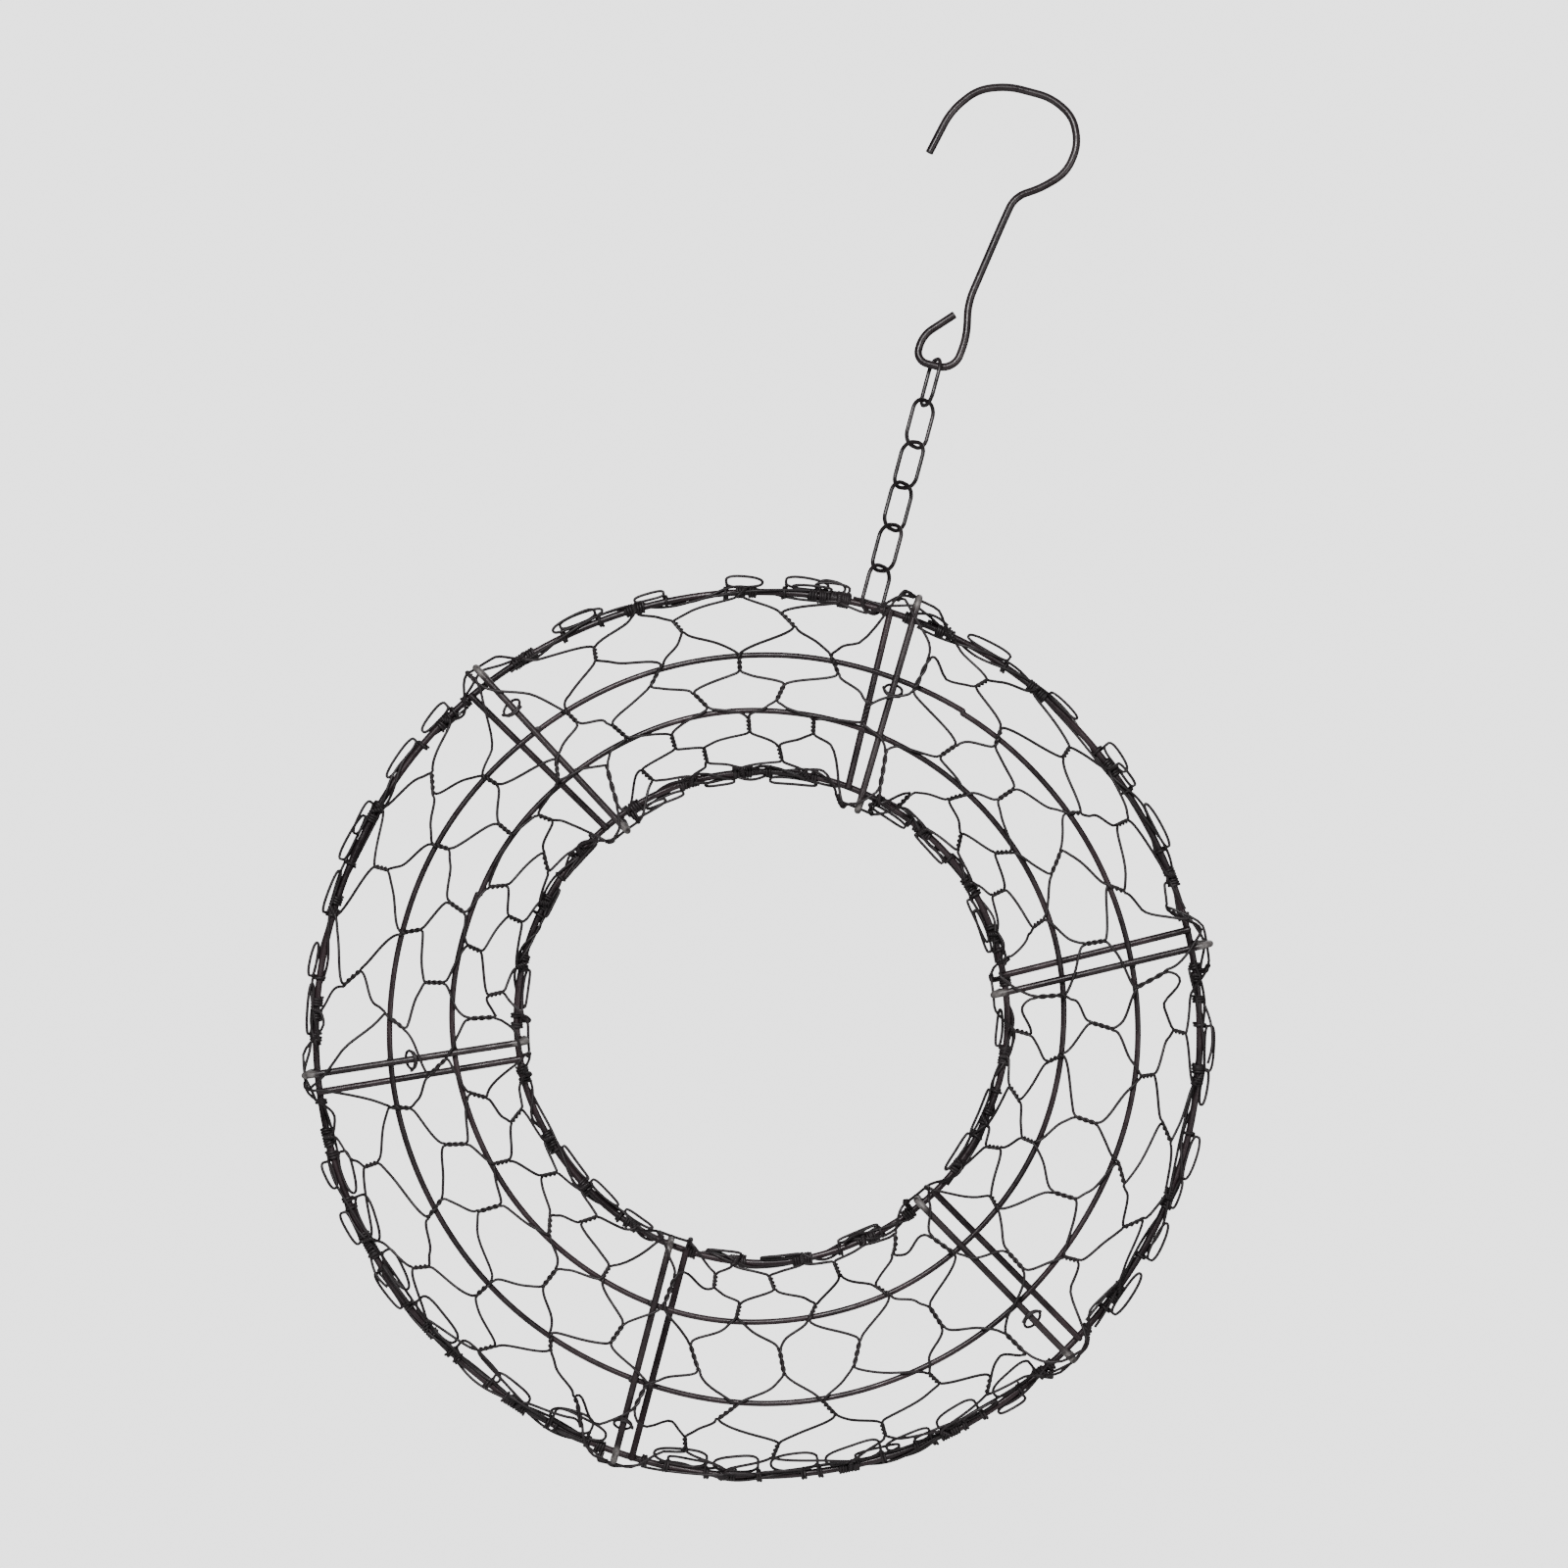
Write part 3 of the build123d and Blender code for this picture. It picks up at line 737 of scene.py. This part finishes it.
def tie_line(node, rib, rng):
    """A cut piece of wire curled loosely round a rib, aslant, its ends standing off."""
    points = upright(node)
    middle = (points.min(0) + points.max(0)) / 2
    reach = math.hypot(middle[0] - CENTRE_X, middle[2] - CENTRE_Z)
    outer = polar(rib.outer_reach, rib.bearing(rib.outer_reach), RIB_Y)
    inner = polar(rib.inner_reach, rib.bearing(rib.inner_reach), RIB_Y)
    share = (rib.outer_reach - reach) / (rib.outer_reach - rib.inner_reach)
    seat, along = outer + (inner - outer) * share, unit(inner - outer)
    side, front = np.cross(along, (0, 1, 0)), np.array((0, -1.0, 0))
    deep = BAR_WIRE + NET_WIRE + TIE_GAP
    wide, long = rng.uniform(*TIE_WIDE) * MM, rng.uniform(*TIE_LONG) * MM
    off = rng.uniform(*TIE_OFF) * MM
    turns = rng.uniform(*TIE_TURNS)
    steps = int(turns * 20)
    line = []
    for i in range(steps + 1):
        share = i / steps - 0.5
        angle = math.radians(TIE_START) - 2 * math.pi * turns * i / steps
        open_now = 1 - TIE_CLOSING * share
        across = off + wide * open_now * math.cos(angle)
        lengthways = long * open_now * math.sin(angle) + TIE_ADVANCE * share
        line.append(seat + side * across + front * deep * math.sin(angle) + along * lengthways)
    head_way = unit(line[0] - line[1])
    tail_way = unit(line[-1] - line[-2])
    reach_out = rng.uniform(*TIE_ENDS) * MM
    head = [line[0] + head_way * reach_out * s + side * reach_out * 0.4 * s * s for s in (1, 0.75, 0.5, 0.25)]
    tail = [line[-1] + tail_way * reach_out * s + front * 0.8 * MM * s * s for s in (0.25, 0.5, 0.75, 1)]
    return head + line + tail


def make_ties(material):
    rng = random.Random(21)
    for k, rib in enumerate(RIBS):
        node = f"tie_wire_{k + 1}"
        if node not in frame["nodes"]:
            continue
        wires = WireMesh()
        wires.add(tie_line(node, rib, rng), NET_WIRE)
        wires.piece(f"tie_{k + 1}", "frame", "net_wire", material, [node])


# ------------------------------------------------------------------ rings and welds
JOINT_SPAN = 1 / 30         # share of a ring's length over which each end swings out of line
CHAIN_CALM = 14             # degrees either side of the chain in which the rings hardly wave
RING_WAVE = 0.22 * MM
RINGS = (                   # ring, node, bearing of the joint, step there in mm, seed
    (OUTER_RIM, "outer_ring", -49.0, 0.8, 1.1),
    (INNER_RIM, "inner_ring", 205.0, 0.5, 2.7),
    (FRONT_OUTER, "front_ring_outer", 72.0, 0.9, 0.4),
    (FRONT_INNER, "front_ring_inner", 170.0, 0.9, 3.9),
)


def ring_line(ring, joint, step, seed):
    """A rolled wire ring: a little wavy, its two ends out of line by a step where they are welded."""
    steps = 720
    line = []
    for i in range(steps + 1):
        share = i / steps
        bearing = joint + 360 * share
        near_start, near_end = max(0, 1 - share / JOINT_SPAN), max(0, 1 - (1 - share) / JOINT_SPAN)
        calm = 1 - math.exp(-(((bearing - CHAIN_BEARING + 180) % 360 - 180) / CHAIN_CALM) ** 2)
        a = math.radians(bearing)
        waves = math.sin(5 * a + seed) + 0.6 * math.sin(9 * a + 2.3 * seed)
        out = RING_WAVE * waves * calm + step * (near_start**2 - near_end**2) / 2
        depth = 0.5 * RING_WAVE * math.sin(7 * a + seed) * calm
        line.append(polar(ring.reach(bearing) + out, bearing, ring.y + depth))
    return line


def make_rings(material, beads, rng):
    for ring, node, joint, step, seed in RINGS:
        wires = WireMesh()
        wires.add(ring_line(ring, joint, step * MM, seed), ring.wire, sides=16)
        wires.piece(f"{node}_wire", "frame", "frame_steel", material, [node])
        along, across = along_ring(joint), along_ring(joint - 90)
        size = ring.wire
        axes = along * size * 0.9, across * (size + 0.35 * MM), np.array((0, size * 1.06, 0))
        beads.add_bead(crossing(joint, ring), axes, rng, rough=0.06)


def crossing(bearing, ring):
    """The point of a ring's centreline at a bearing."""
    return polar(ring.reach(bearing), bearing, ring.y)


def make_welds(material):
    """Squeezed-out metal at each resistance weld, in the corner between the two wires."""
    rng = random.Random(31)
    beads = WireMesh()
    back = np.array((0, 1.0, 0))
    sunk = 0.05 * MM
    for rib, bar in zip(RIBS, BACK_BARS):
        for ring in (FRONT_OUTER, FRONT_INNER):
            bearing = rib.bearing(ring.reach(rib.bearing(ring.radius)))
            seat = crossing(bearing, ring) - back * (ring.wire + sunk)
            add_flash(beads, seat, bearing, back, rng)
        for rim, bearing in ((OUTER_RIM, bar.outer), (INNER_RIM, bar.inner)):
            seat = crossing(bearing, rim) - back * (rim.wire - sunk)
            add_flash(beads, seat, bearing, back, rng)
        for rim, bearing, way in ((OUTER_RIM, rib.outer, 1), (INNER_RIM, rib.inner, -1)):
            across = along_ring(bearing - 90) * way
            seat = crossing(bearing, rim) + across * (rim.wire - sunk)
            add_flash(beads, seat, bearing, across, rng)
    return beads, rng


def add_flash(beads, seat, bearing, through, rng):
    """One weld: a flat collar of metal between two crossed wires, thin along the line through both."""
    round_way = along_ring(bearing)
    third = np.cross(through, round_way)
    wide = rng.uniform(1.25, 1.6) * MM
    axes = (round_way * wide, third * wide * rng.uniform(0.9, 1.1), through * 0.62 * MM)
    beads.add_bead(seat, axes, rng, rough=0.12)


# ------------------------------------------------------------------ materials
class Nodes:
    """A few words for building a material's node tree."""

    def __init__(self, name):
        self.material = bpy.data.materials.new(name)
        self.material.use_nodes = True
        self.tree = self.material.node_tree
        self.shader = self.tree.nodes["Principled BSDF"]
        self.place = self.tree.nodes.new("ShaderNodeTexCoord").outputs["Object"]

    def link(self, source, target):
        self.tree.links.new(source, target)

    def noise(self, scale, detail, roughness=0.55):
        node = self.tree.nodes.new("ShaderNodeTexNoise")
        node.inputs["Scale"].default_value = scale
        node.inputs["Detail"].default_value = detail
        node.inputs["Roughness"].default_value = roughness
        self.link(self.place, node.inputs["Vector"])
        return node.outputs["Fac"]

    def ramp(self, source, low, high, to_low=0.0, to_high=1.0):
        node = self.tree.nodes.new("ShaderNodeMapRange")
        node.interpolation_type = "SMOOTHSTEP"
        self.link(source, node.inputs["Value"])
        for socket, value in zip(("From Min", "From Max", "To Min", "To Max"), (low, high, to_low, to_high)):
            node.inputs[socket].default_value = value
        return node.outputs["Result"]

    def maths(self, kind, first, second):
        node = self.tree.nodes.new("ShaderNodeMath")
        node.operation = kind
        node.use_clamp = True
        for socket, value in zip(node.inputs, (first, second)):
            if isinstance(value, (int, float)):
                socket.default_value = value
            else:
                self.link(value, socket)
        return node.outputs[0]

    def mix(self, share, first, second):
        node = self.tree.nodes.new("ShaderNodeMix")
        node.data_type = "RGBA"
        self.link(share, node.inputs["Factor"])
        for socket, value in zip((node.inputs[6], node.inputs[7]), (first, second)):
            if isinstance(value, tuple):
                socket.default_value = (*value, 1)
            else:
                self.link(value, socket)
        return node.outputs[2]

    def bump(self, height, strength, distance):
        node = self.tree.nodes.new("ShaderNodeBump")
        node.inputs["Strength"].default_value = strength
        node.inputs["Distance"].default_value = distance
        self.link(height, node.inputs["Height"])
        self.link(node.outputs["Normal"], self.shader.inputs["Normal"])

    def off_centre(self):
        """Distance from the wreath's own centre line, in metres."""
        turn = self.tree.nodes.new("ShaderNodeVectorRotate")
        turn.rotation_type = "X_AXIS"
        self.link(self.place, turn.inputs["Vector"])
        turn.inputs["Center"].default_value = tuple(RIM_TOP)
        turn.inputs["Angle"].default_value = -TILT
        node = self.tree.nodes.new("ShaderNodeVectorMath")
        node.operation = "SUBTRACT"
        self.link(turn.outputs[0], node.inputs[0])
        node.inputs[1].default_value = (CENTRE_X, 0, CENTRE_Z)
        flat = self.tree.nodes.new("ShaderNodeVectorMath")
        flat.operation = "MULTIPLY"
        self.link(node.outputs[0], flat.inputs[0])
        flat.inputs[1].default_value = (1, 0, 1)
        size = self.tree.nodes.new("ShaderNodeVectorMath")
        size.operation = "LENGTH"
        self.link(flat.outputs[0], size.inputs[0])
        return size.outputs["Value"]


# Enamel's dark and light clouds, bare spots, and a pale painted reflection of the bright surround on the
# bends of the ribs.
DARK = (0.012, 0.007, 0.009)
BROWN = (0.040, 0.025, 0.029)
GREY = (0.11, 0.10, 0.10)
REFLECTION_PALE = (0.20, 0.185, 0.18)


def painted_wire(name, dark=DARK, light=BROWN, wear=0.66, gloss=(0.27, 0.46), ends=False):
    """Dark enamel over steel wire: cloudy colour, thin spots, and a skin of fine pits; with ends, a pale
    painted reflection on the ribs' bends.
    """
    n = Nodes(name)
    clouds = n.noise(38, 6)
    colour = n.mix(n.ramp(clouds, 0.38, 0.64), dark, light)
    flecks = n.noise(620, 5, 0.7)
    spots = n.ramp(flecks, wear, wear + 0.10)
    colour = n.mix(n.maths("MULTIPLY", spots, n.ramp(n.noise(85, 3), 0.42, 0.62)), colour, GREY)
    rough = n.ramp(n.noise(240, 4), 0.35, 0.68, *gloss)
    # Painted reflection: the ribs' bends run steeply towards the camera, and a pale colour there stands in
    # for the bright surround mirrored along their sides.
    if ends:
        reach = n.off_centre()
        outer = n.ramp(reach, RIB_OUTER - 4.5 * MM, RIB_OUTER - 1 * MM)
        inner = n.ramp(reach, RIB_INNER + 4 * MM, RIB_INNER + 1 * MM)
        painted_reflection = n.maths("ADD", outer, inner)
        uneven = n.ramp(n.noise(420, 4, 0.65), 0.30, 0.60)
        colour = n.mix(n.maths("MULTIPLY", painted_reflection, uneven), colour, REFLECTION_PALE)
        rough = n.maths("ADD", rough, n.maths("MULTIPLY", painted_reflection, 0.12))
    n.link(colour, n.shader.inputs["Base Color"])
    n.link(rough, n.shader.inputs["Roughness"])
    n.shader.inputs["Metallic"].default_value = 0.15
    n.shader.inputs["Specular IOR Level"].default_value = 0.5
    n.bump(n.noise(1500, 3, 0.6), 0.28, 0.0002)
    return n.material


def make_materials():
    dull, dull_dark = (0.024, 0.018, 0.020), (0.010, 0.007, 0.008)
    chain_light, chain_dark = (0.028, 0.021, 0.023), (0.011, 0.008, 0.009)
    rib_light, hook_light = (0.040, 0.030, 0.032), (0.042, 0.032, 0.034)
    weld_dark = (0.009, 0.007, 0.007)
    return {
        "frame_steel": painted_wire("frame_enamel"),
        "rib_steel": painted_wire("rib_enamel", light=rib_light, ends=True),
        "net_wire": painted_wire("net_enamel", dull_dark, dull, wear=0.62, gloss=(0.42, 0.66)),
        "chain_steel": painted_wire("chain_enamel", chain_dark, chain_light, gloss=(0.26, 0.44)),
        "hook_steel": painted_wire("hook_enamel", light=hook_light, gloss=(0.24, 0.42)),
        "weld": painted_wire("weld_enamel", weld_dark, dull, wear=0.60, gloss=(0.45, 0.7)),
    }


def paint_cad_nodes(materials):
    slots = {part["node"]: part["material_slot"] for part in frame["record"]["subparts"]}
    for node, thing in frame["nodes"].items():
        thing.data.materials.clear()
        thing.data.materials.append(materials[slots[node]])
        thing.data.shade_smooth()


# ------------------------------------------------------------------ camera, light and floor
PICTURE_WIDTH = 0.6291      # metres across the picture at the rims' plane
CAMERA_DISTANCE = 1.8
LEAN = 14.9                 # the picture leans: the wreath's own upright is this far clockwise
SHIFT_UP = 0.045            # lens shift, as a share of the picture's width
AIM_RIGHT, AIM_UP = 9.4 * MM, 95.8 * MM    # from the wreath's centre to the picture's centre


def make_camera():
    """Looks straight at the wreath, square to its tilted plane, from a little below the picture's middle."""
    lean = math.radians(LEAN)
    right = Vector((math.cos(lean), 0, math.sin(lean)))
    up = Vector((-math.sin(lean), 0, math.cos(lean)))
    back = Vector((0, -1, 0))
    centre = Vector((CENTRE_X, 0, CENTRE_Z))
    pose = Matrix((right, up, back)).transposed().to_4x4()
    aim = centre + right * AIM_RIGHT + up * AIM_UP
    pose.translation = aim - up * SHIFT_UP * PICTURE_WIDTH + back * CAMERA_DISTANCE
    hinge = Matrix.Translation(RIM_TOP)
    data = bpy.data.cameras.new("camera")
    data.sensor_width = 36
    data.lens = data.sensor_width * CAMERA_DISTANCE / PICTURE_WIDTH
    data.shift_y = SHIFT_UP
    data.clip_end = 50
    camera = bpy.data.objects.new("camera", data)
    camera.matrix_world = hinge @ Matrix.Rotation(TILT, 4, "X") @ hinge.inverted() @ pose
    bpy.context.scene.collection.objects.link(camera)
    bpy.context.scene.camera = camera
    return aim


def add_light(name, place, aim, size, power):
    data = bpy.data.lights.new(name, "AREA")
    data.shape = "DISK"
    data.size = size
    data.energy = power
    light = bpy.data.objects.new(name, data)
    light.location = place
    light.rotation_euler = (aim - place).to_track_quat("-Z", "Y").to_euler()
    bpy.context.scene.collection.objects.link(light)


LIGHTS = (                  # name, place from the picture's centre, size, watts
    ("key", (-0.4, -1.6, 0.5), 0.45, 28),
    ("fill", (1.4, -1.3, 0.2), 0.9, 7),
    ("back", (0.4, 1.6, 1.4), 1.2, 10),
)
BACKGROUND = 2.6            # what the camera sees of the white surround
SURROUND = 0.16             # how strongly the surround lights the object
FLOOR_GAP = 0.6
FLOOR_SIZE = 2.4
FLOOR_GLOW = 1.8            # brings the floor near the surround's tone, for the camera only


def brightness_for_camera(tree, seen, otherwise):
    """A value that is one number for camera rays and another for light that falls on things."""
    path = tree.nodes.new("ShaderNodeLightPath")
    choose = tree.nodes.new("ShaderNodeMapRange")
    tree.links.new(path.outputs["Is Camera Ray"], choose.inputs["Value"])
    choose.inputs["To Min"].default_value = otherwise
    choose.inputs["To Max"].default_value = seen
    return choose.outputs["Result"]


def make_studio(aim):
    for name, place, size, power in LIGHTS:
        add_light(name, aim + Vector(place), aim, size, power)
    world = bpy.data.worlds.new("studio")
    world.use_nodes = True
    surround = world.node_tree.nodes["Background"]
    surround.inputs["Color"].default_value = (1, 1, 1, 1)
    strength = brightness_for_camera(world.node_tree, BACKGROUND, SURROUND)
    world.node_tree.links.new(strength, surround.inputs["Strength"])
    bpy.context.scene.world = world
    low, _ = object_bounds()
    bpy.ops.mesh.primitive_plane_add(size=FLOOR_SIZE, location=(0, 0, low.z - FLOOR_GAP))
    floor = bpy.context.object
    floor.name = "floor"
    n = Nodes("floor_pale")
    n.link(n.mix(n.noise(3, 3), (0.93, 0.93, 0.93), (0.96, 0.96, 0.96)), n.shader.inputs["Base Color"])
    n.shader.inputs["Roughness"].default_value = 0.9
    n.shader.inputs["Emission Color"].default_value = (1, 1, 1, 1)
    n.link(brightness_for_camera(n.tree, FLOOR_GLOW, 0.0), n.shader.inputs["Emission Strength"])
    floor.data.materials.append(n.material)
    floor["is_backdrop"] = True


# ------------------------------------------------------------------ build
materials = make_materials()
paint_cad_nodes(materials)
make_netting(materials["net_wire"])
make_edge_loops(materials["net_wire"])
make_lacing(materials["net_wire"])
make_slack(materials["net_wire"])
make_rib_loops(materials["net_wire"])
make_bunch(materials["net_wire"])
make_ties(materials["net_wire"])
weld_beads, weld_rng = make_welds(materials["weld"])
make_rings(materials["frame_steel"], weld_beads, weld_rng)
weld_beads.piece("weld_beads", "frame", "frame_steel", materials["weld"])
make_studio(make_camera())
